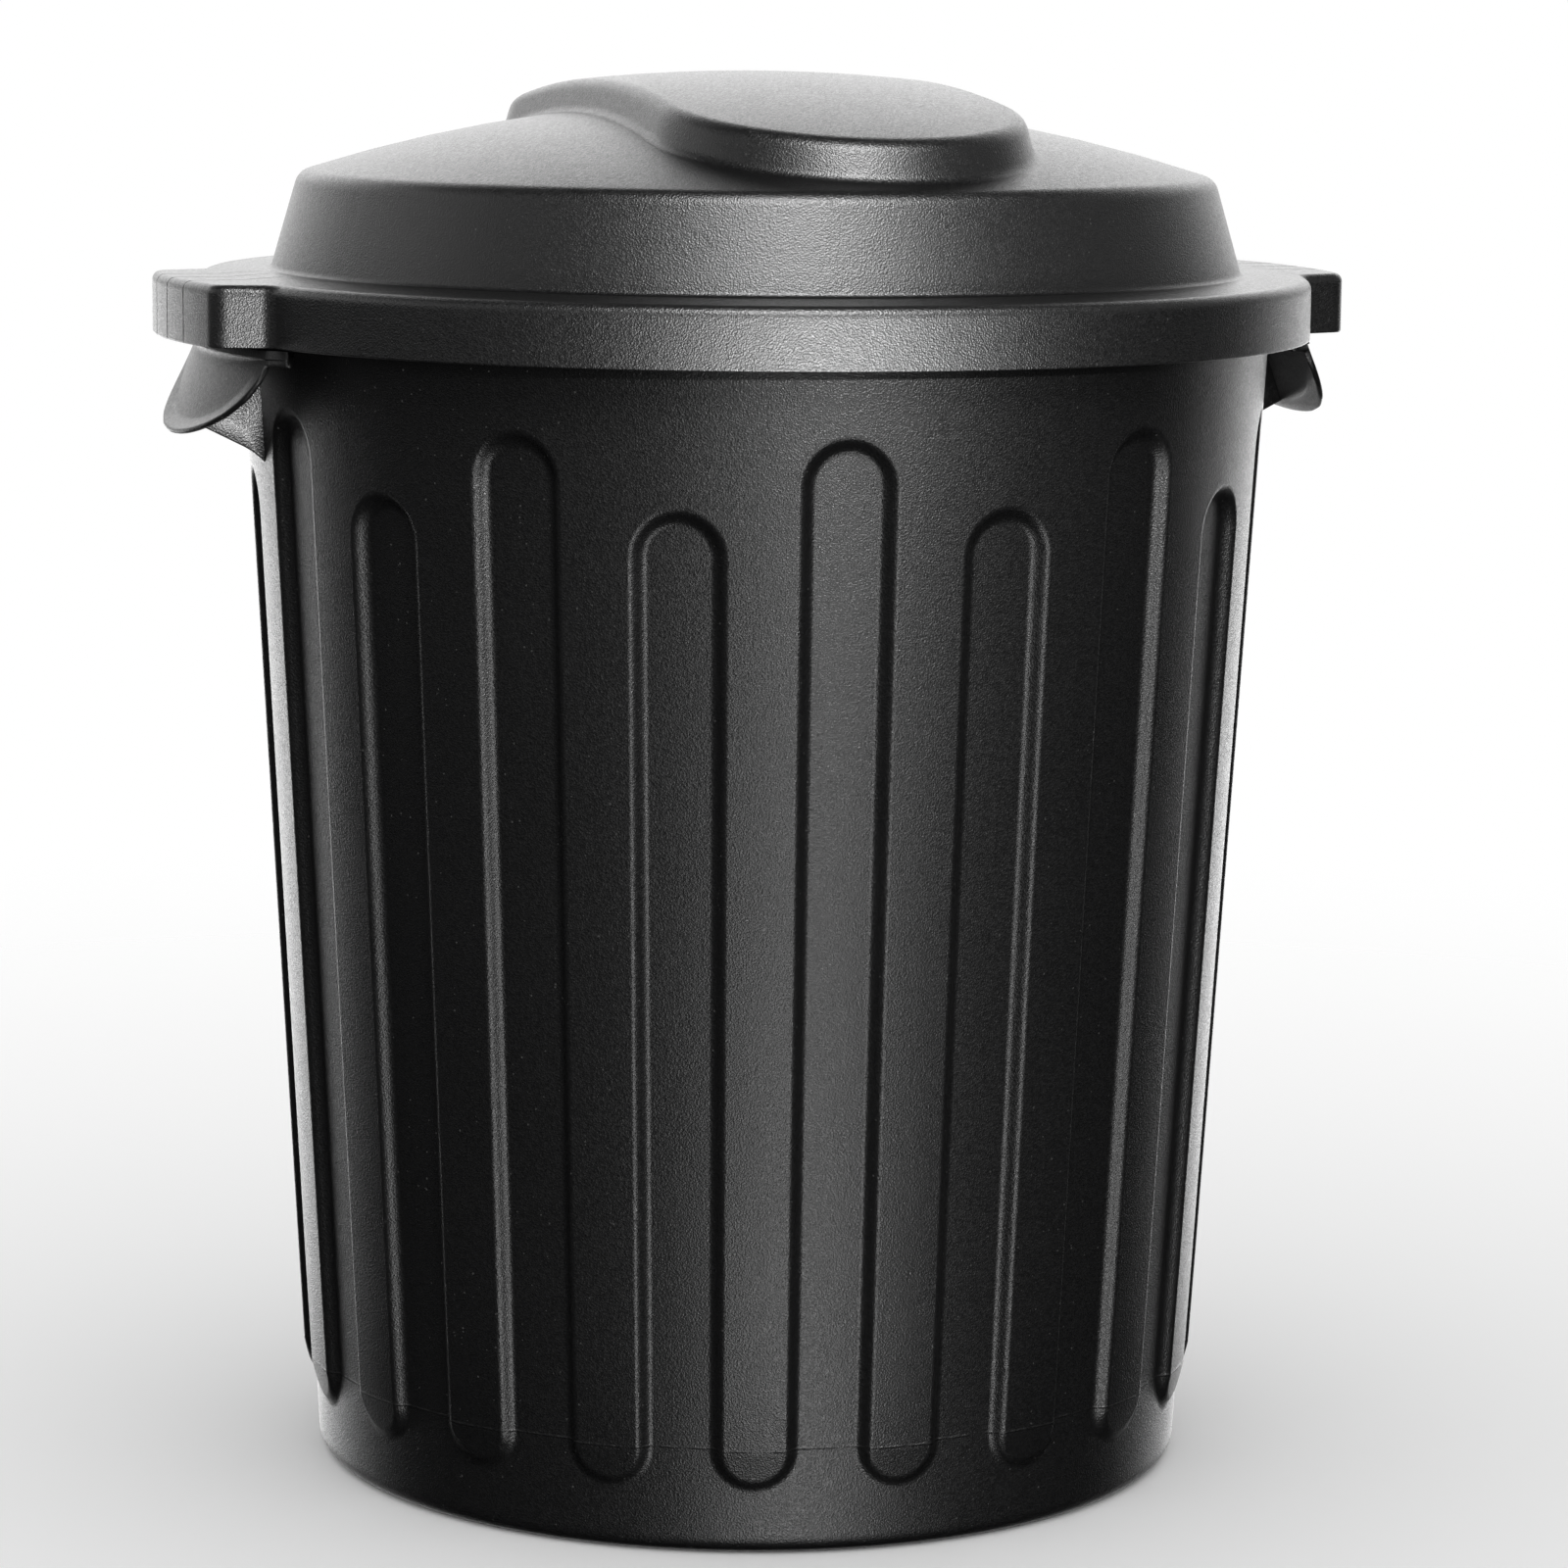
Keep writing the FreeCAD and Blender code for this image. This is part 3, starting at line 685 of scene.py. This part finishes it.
def handle_flap(side, material):
    """Handle flap on one side, as a closed section carried along its U-shaped lower edge.

    The lower edge is half an ellipse in angle and height, with a short ear at each end that turns in
    towards the rim. Every column of the grid drops from the neck inside the lid's tab over the bead to
    that edge. Near the edge the cone is flared by a power of the closeness, most at the middle of
    the U. The inner side is the outer one moved in along the section's normal, and a half circle joins
    the two. On it stands a ragged trace of flash, a sum of sines of unlike pitch, most at the U's ends.
    """
    turn = np.radians(np.linspace(-90, 90, FLAP_COLUMNS))
    ear = np.linspace(0, 1, FLAP_EAR_COLUMNS + 1)[1:]
    depth = FLAP_SHOULDER - FLAP_EAR_DROP - HANDLE_BOTTOM - FLAP_THICKNESS / 2
    reach = np.concatenate([ear[::-1], np.zeros_like(turn), ear])
    bend = np.concatenate([0 * ear, np.cos(turn), 0 * ear])
    angle = np.concatenate([-90 - ear[::-1], np.degrees(turn), 90 + ear])
    span = FLAP_HALF_ANGLE * np.sin(np.clip(np.radians(angle), -math.pi / 2, math.pi / 2))
    span += np.sign(span) * reach * (FLAP_EAR_ANGLE - FLAP_HALF_ANGLE)
    low = FLAP_SHOULDER - FLAP_EAR_DROP - depth * bend
    neck = np.clip(span, -FLAP_NECK_ANGLE, FLAP_NECK_ANGLE)

    drop = FLAP_SHOULDER - low
    lip = np.minimum(LIP_HEIGHT / np.maximum(bend, LIP_LEAST_BEND), LIP_DROP_SHARE * drop)
    above = np.linspace(0, 1, FLAP_ROWS)[:-1, None]
    close = np.concatenate([0 * above, np.linspace(0, 1, FLAP_ROWS)[:, None]])
    height = np.concatenate([FLAP_SHOULDER - above * (drop - lip), low + (1 - close[len(above):]) * lip])
    flare = LIP_FLARE * bend ** LIP_FADE
    radius = flap_radius(height) + flare * close ** LIP_CURL
    lean = -FLAP_SLOPE - flare * LIP_CURL * close ** (LIP_CURL - 1) / lip
    drawn_in = lambda wide: wide - reach * (wide - FLAP_EAR_RADIUS)
    scale = FLAP_THICKNESS / np.hypot(1, lean)
    outer = polar(drawn_in(radius), span, height)
    inner = polar(drawn_in(radius) - scale, span, height + scale * lean)

    neck_radius, bead_radius = flap_radius(HANDLE_TOP), flap_radius(BEAD_TOP)
    bead = np.stack([
        polar(neck_radius, neck, HANDLE_TOP),
        polar(bead_radius, neck, BEAD_TOP),
        polar(drawn_in(bead_radius + BEAD_STEP), span, BEAD_TOP),
        polar(drawn_in(flap_radius(FLAP_SHOULDER) + BEAD_STEP), span, FLAP_SHOULDER + BEAD_LIFT),
        polar(drawn_in(flap_radius(FLAP_SHOULDER) + BEAD_FOOT), span, FLAP_SHOULDER + BEAD_FOOT),
    ])
    bead = rounded(bead, [0, 0, BEAD_EDGE, BEAD_HOLLOW, 0], samples=3)
    back = np.stack([
        polar(drawn_in(bead_radius) - FLAP_THICKNESS, span, BEAD_TOP),
        polar(bead_radius - FLAP_THICKNESS, neck, BEAD_TOP),
        polar(neck_radius - FLAP_THICKNESS, neck, HANDLE_TOP),
    ])

    middle, half = (outer[-1] + inner[-1]) / 2, (outer[-1] - inner[-1]) / 2
    outward = unit(outer[-1] - outer[-2]) * np.linalg.norm(half, axis=-1, keepdims=True)
    ends = np.abs(np.sin(np.radians(np.clip(angle, -90, 90)))) ** FLASH_END_POWER
    slow, quick, plain = (angle * pitch for pitch in FLASH_PITCHES)
    waves = np.sin(slow) * np.sin(quick + 1) + np.sin(plain + 2)
    ragged = FLASH * (FLASH_ALONG + ends) * waves
    edge = [middle + half * math.cos(a) + outward * math.sin(a) for a in np.radians(LIP_TURNS)]
    proud = ragged[:, None] * np.array(FLASH_ON_TURNS)[:, None, None]
    edge = np.stack(edge) + outward / np.linalg.norm(outward, axis=-1, keepdims=True) * proud
    section = np.concatenate([bead, outer, edge, inner[::-1], back])
    section = np.concatenate([section, section[:1]])
    open_ends = section[:, 0], section[:, -1]
    caps = [np.stack([end, np.broadcast_to(end.mean(axis=0), end.shape)]) for end in open_ends]
    grids = [(grid * np.array([side, side, 1]), False, 1) for grid in [section] + caps]
    name = "right_handle" if side > 0 else "left_handle"
    return moulded_piece(name + "_flap", grids, material, "tub", [name])


def handle_plate(side, material):
    """Upright web under a handle: a flat plate, its outline set in by the edge's rounding on both faces.

    The outline runs up the wall, out under the bead, down the inside of the flap and back along the
    slanted lower edge, which curves down a little where it meets the wall.
    """
    inside = lambda height: flap_radius(height) - FLAP_THICKNESS / 2
    wall = lambda height: LAND_FOOT_RADIUS + WALL_SLOPE * height - WALL / 2
    low_edge = lambda share: (wall(WEB_FOOT) + share * (inside(WEB_TIP) - wall(WEB_FOOT)),
                              WEB_FOOT + WEB_RISE + share * (WEB_TIP - WEB_FOOT - WEB_RISE))
    keys = np.array([
        (wall(WEB_TOP), WEB_TOP),
        (inside(WEB_TOP), WEB_TOP),
        (inside(WEB_TIP + WEB_HEM), WEB_TIP + WEB_HEM),
        (inside(WEB_TIP), WEB_TIP),
        *(low_edge(share) for share in WEB_PLACES),
        (wall(WEB_FOOT), WEB_FOOT - WEB_TOE),
    ])
    outline = rounded(keys, [0, 0, 0, 0, 0, WEB_BEND, 0], samples=6)
    along = unit(np.roll(outline, -1, axis=0) - np.roll(outline, 1, axis=0))
    inset = outline - np.stack([-along[:, 1], along[:, 0]], axis=-1) * WEB_EDGE
    centre = np.broadcast_to(outline.mean(axis=0), outline.shape)
    half = WEB_THICKNESS / 2
    layers = [(centre, -half), (inset, -half), (outline, -half + WEB_EDGE)]
    layers += [(outline, half - WEB_EDGE), (inset, half), (centre, half)]
    placed = lambda flat, depth: np.stack([flat[:, 0], np.full(len(flat), depth), flat[:, 1]], axis=-1)
    grid = np.stack([placed(flat, depth) for flat, depth in layers])
    name = "right_handle_web" if side > 0 else "left_handle_web"
    grids = [(grid * np.array([side, side, 1]), True, 1)]
    return moulded_piece(name + "_plate", grids, material, "tub", [name])


def srgb(code):
    """Linear colour with alpha from an sRGB hex code."""
    channels = [int(code[i:i + 2], 16) / 255 for i in (1, 3, 5)]
    return [c / 12.92 if c <= 0.04045 else ((c + 0.055) / 1.055) ** 2.4 for c in channels] + [1.0]


def add(tree, kind, links=(), **settings):
    """Adds a node with settings. Links are (own input, other node, other output)."""
    node = tree.nodes.new(kind)
    for name, value in settings.items():
        if name.startswith("in_"):
            node.inputs[name[3:].replace("_", " ")].default_value = value
        else:
            setattr(node, name, value)
    for own, other, output in links:
        tree.links.new(other.outputs[output], node.inputs[own])
    return node


def material_start(name):
    """New node material with its shader and Object coordinates."""
    material = bpy.data.materials.new(name)
    material.use_nodes = True
    tree = material.node_tree
    return material, tree, tree.nodes["Principled BSDF"], add(tree, "ShaderNodeTexCoord")


def textured_polypropylene(name, roughness, depth, ridge=None):
    """Black polypropylene, injection moulded against a spark-eroded steel mould.

    The eroded mould leaves a fine pebbled skin that glitters inside its own highlights and looks satin
    elsewhere. The attribute grain fades that skin where the mould was plain. The pebbles of about
    0.25 mm are drawn 0.65 mm wide, because finer ones don't show at this distance. A few specks of dust
    lie on it. Depth is the share of the full grain, and ridge adds to the height of the skin what only
    one piece has.
    """
    material, tree, shader, where = material_start(name)
    place = [("Vector", where, "Object")]
    grain = add(tree, "ShaderNodeAttribute", attribute_name="grain")
    pebble = add(tree, "ShaderNodeTexNoise", place, in_Scale=1 / PEBBLE, in_Detail=2.0, in_Roughness=0.6)
    facet = add(tree, "ShaderNodeTexVoronoi", place, in_Scale=1 / FACET)
    skin = add(tree, "ShaderNodeMath", [(0, pebble, "Fac"), (1, facet, "Distance")], operation="ADD")
    if ridge:
        raised = ridge(tree, where)
        skin = add(tree, "ShaderNodeMath", [(0, skin, "Value"), (1, raised, "Result")], operation="ADD")
    strength = add(tree, "ShaderNodeMath", [(0, grain, "Fac")], operation="MULTIPLY")
    strength.inputs[1].default_value = depth
    bump = add(tree, "ShaderNodeBump", [("Height", skin, "Value"), ("Strength", strength, "Value")],
               in_Distance=PEBBLE_HEIGHT)
    tree.links.new(bump.outputs["Normal"], shader.inputs["Normal"])
    glint = add(tree, "ShaderNodeSeparateColor", [("Color", facet, "Color")])
    rough = add(tree, "ShaderNodeMapRange", [("Value", glint, "Red")],
                in_To_Min=roughness - GLINT, in_To_Max=roughness + GLINT)
    tree.links.new(rough.outputs["Result"], shader.inputs["Roughness"])

    cloud = add(tree, "ShaderNodeTexNoise", place, in_Scale=1 / CLOUD, in_Detail=3.0)
    tint = add(tree, "ShaderNodeMix", [("Factor", cloud, "Fac")], data_type="RGBA")
    tint.inputs["A"].default_value = srgb(PIGMENT_BLACK)
    tint.inputs["B"].default_value = srgb(CLOUDED_BLACK)
    cell = add(tree, "ShaderNodeTexVoronoi", place, in_Scale=1 / DUST_SPACING)
    chosen = add(tree, "ShaderNodeSeparateColor", [("Color", cell, "Color")])
    size = add(tree, "ShaderNodeMapRange", [("Value", chosen, "Red")], in_From_Min=DUST_FREE_SHARE,
               in_From_Max=1.0, in_To_Min=0.0, in_To_Max=DUST_RADIUS / DUST_SPACING)
    speck = add(tree, "ShaderNodeMath", [(0, cell, "Distance"), (1, size, "Result")], operation="LESS_THAN")
    pale = add(tree, "ShaderNodeMix", [("Factor", speck, "Value"), ("A", tint, "Result")], data_type="RGBA")
    pale.inputs["B"].default_value = srgb(DUST_GREY)
    tree.links.new(pale.outputs["Result"], shader.inputs["Base Color"])
    shader.inputs["IOR"].default_value = POLYPROPYLENE_IOR
    return material


def witness_line(tree, where):
    """Fine broken ridge round the tub where two parts of its mould met."""
    broken = add(tree, "ShaderNodeTexNoise", [("Vector", where, "Object")], in_Scale=1 / WITNESS_BREAK)
    height = add(tree, "ShaderNodeMapRange", [("Value", broken, "Fac")], in_From_Min=WITNESS_GAPS[0],
                 in_From_Max=WITNESS_GAPS[1], in_To_Min=0.0, in_To_Max=WITNESS_HEIGHT / PEBBLE_HEIGHT)
    upright = add(tree, "ShaderNodeSeparateXYZ", [("Vector", where, "Object")])
    off = add(tree, "ShaderNodeMath", [(0, upright, "Z")], operation="SUBTRACT")
    off.inputs[1].default_value = RIB_TAPER_HEIGHT
    off = add(tree, "ShaderNodeMath", [(0, off, "Value")], operation="ABSOLUTE")
    return add(tree, "ShaderNodeMapRange", [("Value", off, "Value"), ("To Min", height, "Result")],
               in_From_Min=0.0, in_From_Max=WITNESS_WIDTH / 2, in_To_Max=0.0)


def soft_box(name, azimuth, elevation, size, power, lit):
    """Rectangular lamp that faces the bin's middle, for the pieces named in lit or for all."""
    turn, rise = math.radians(CAMERA_AZIMUTH + azimuth), math.radians(elevation)
    away = np.array([math.sin(turn) * math.cos(rise), -math.cos(turn) * math.cos(rise), math.sin(rise)])
    data = bpy.data.lights.new(name, "AREA")
    data.shape = "RECTANGLE"
    data.size, data.size_y = size
    data.energy = power
    lamp = bpy.data.objects.new(name, data)
    lamp.location = np.array(LAMP_AIM) + away * LAMP_DISTANCE
    lamp.rotation_euler = Vector(away).to_track_quat("Z", "Y").to_euler()
    lamp.visible_camera = False
    lamp.visible_diffuse = False
    bpy.context.scene.collection.objects.link(lamp)
    if lit:
        lamp.light_linking.receiver_collection = bpy.data.collections.new(name)
        for piece in lit:
            lamp.light_linking.receiver_collection.objects.link(bpy.data.objects[piece])


def studio():
    """Pale floor that fades into a white surround, and soft boxes.

    The surround is white to the camera and to scattered light. To mirror reflections it is bright only
    behind the bin, as in a room whose backdrop is lit and whose front is dark.
    """
    bpy.ops.mesh.primitive_plane_add(size=FLOOR_SIZE)
    floor = bpy.context.object
    floor.name = "floor"
    floor.visible_glossy = False
    floor.visible_shadow = False
    material, tree, shader, where = material_start("matt white studio paper")
    shader.inputs["Base Color"].default_value = srgb(PAPER_WHITE)
    shader.inputs["Roughness"].default_value = PAPER_ROUGHNESS
    shader.inputs["Specular IOR Level"].default_value = 0.0
    reach = add(tree, "ShaderNodeVectorMath", [(0, where, "Object")], operation="LENGTH")
    fade = add(tree, "ShaderNodeMapRange", [("Value", reach, "Value")], interpolation_type="SMOOTHSTEP",
               in_From_Min=FLOOR_GONE, in_From_Max=FLOOR_WHOLE)
    tree.links.new(fade.outputs["Result"], shader.inputs["Alpha"])
    floor.data.materials.append(material)

    world = bpy.data.worlds.new("white studio surround")
    bpy.context.scene.world = world
    world.use_nodes = True
    world.cycles.sampling_method = "NONE"
    tree = world.node_tree
    where = add(tree, "ShaderNodeTexCoord")
    behind = add(tree, "ShaderNodeVectorMath", [(0, where, "Generated")], operation="DOT_PRODUCT")
    turn = math.radians(CAMERA_AZIMUTH + BACK_TURN)
    behind.inputs[1].default_value = (-math.sin(turn), math.cos(turn), 0.0)
    upright = add(tree, "ShaderNodeSeparateXYZ", [("Vector", where, "Generated")])
    band = {}
    for name, (from_rise, to_rise, from_level, to_level) in BANDS.items():
        band[name] = add(tree, "ShaderNodeMapRange", [("Value", upright, "Z")],
                         interpolation_type="SMOOTHSTEP", in_From_Min=from_rise, in_From_Max=to_rise,
                         in_To_Min=from_level, in_To_Max=to_level)
    high, foot, roof = [(1, band[name], "Result") for name in ("high", "foot", "roof")]
    back = add(tree, "ShaderNodeMath", [(0, band["back"], "Result"), high], operation="ADD")
    back = add(tree, "ShaderNodeMath", [(0, back, "Value"), foot], operation="MULTIPLY")
    back = add(tree, "ShaderNodeMath", [(0, back, "Value"), roof], operation="MULTIPLY")
    front = add(tree, "ShaderNodeMath", [(0, band["front"], "Result"), roof], operation="MULTIPLY")
    side = add(tree, "ShaderNodeMapRange", [("Value", behind, "Value")], interpolation_type="SMOOTHSTEP",
               in_From_Min=BACK_EDGE[0], in_From_Max=BACK_EDGE[1])
    sides = [("Factor", side, "Result"), ("A", front, "Value"), ("B", back, "Value")]
    back = add(tree, "ShaderNodeMix", sides)
    path = add(tree, "ShaderNodeLightPath")
    level = add(tree, "ShaderNodeMix", [("Factor", path, "Is Glossy Ray"), ("B", back, "Result")], in_A=1.0)
    tree.links.new(level.outputs["Result"], tree.nodes["Background"].inputs["Strength"])
    tree.nodes["Background"].inputs["Color"].default_value = srgb("#ffffff")

    for name, settings in SOFT_BOXES.items():
        soft_box(name, *settings)


def photo_camera():
    """Camera of the photograph: its place round the axis, its aim and its focal length."""
    turn = math.radians(CAMERA_AZIMUTH)
    place = np.array([CAMERA_DISTANCE * math.sin(turn), -CAMERA_DISTANCE * math.cos(turn), CAMERA_HEIGHT])
    heading = -turn + CAMERA_YAW
    level = np.array([math.sin(heading), math.cos(heading), 0.0])
    right = np.array([math.cos(heading), -math.sin(heading), 0.0])
    up = np.array([0.0, 0.0, 1.0])
    forward = math.cos(CAMERA_PITCH) * level - math.sin(CAMERA_PITCH) * up
    upward = math.sin(CAMERA_PITCH) * level + math.cos(CAMERA_PITCH) * up
    across = math.cos(CAMERA_ROLL) * right + math.sin(CAMERA_ROLL) * upward
    over = -math.sin(CAMERA_ROLL) * right + math.cos(CAMERA_ROLL) * upward
    data = bpy.data.cameras.new("camera")
    data.sensor_width = SENSOR
    data.lens = SENSOR * FOCAL_PIXELS / IMAGE_PIXELS
    data.clip_end = FAR_CLIP
    camera = bpy.data.objects.new("camera", data)
    bpy.context.scene.collection.objects.link(camera)
    matrix = np.eye(4)
    matrix[:3, 0], matrix[:3, 1], matrix[:3, 2], matrix[:3, 3] = across, over, -forward, place
    camera.matrix_world = Matrix(matrix.tolist())
    bpy.context.scene.camera = camera


tub_finish = textured_polypropylene("spark textured tub polypropylene", TUB_ROUGHNESS, FULL_GRAIN,
                                    ridge=witness_line)
lid_finish = textured_polypropylene("spark textured lid polypropylene", LID_ROUGHNESS, FULL_GRAIN)
handle_finish = textured_polypropylene("satin handle polypropylene", HANDLE_ROUGHNESS, HANDLE_GRAIN)
tub_moulding(tub_finish)
lid_moulding(lid_finish)
for side in (-1, 1):
    handle_flap(side, handle_finish)
    handle_plate(side, tub_finish)
studio()
photo_camera()
bpy.context.scene.view_settings.view_transform = "Standard"
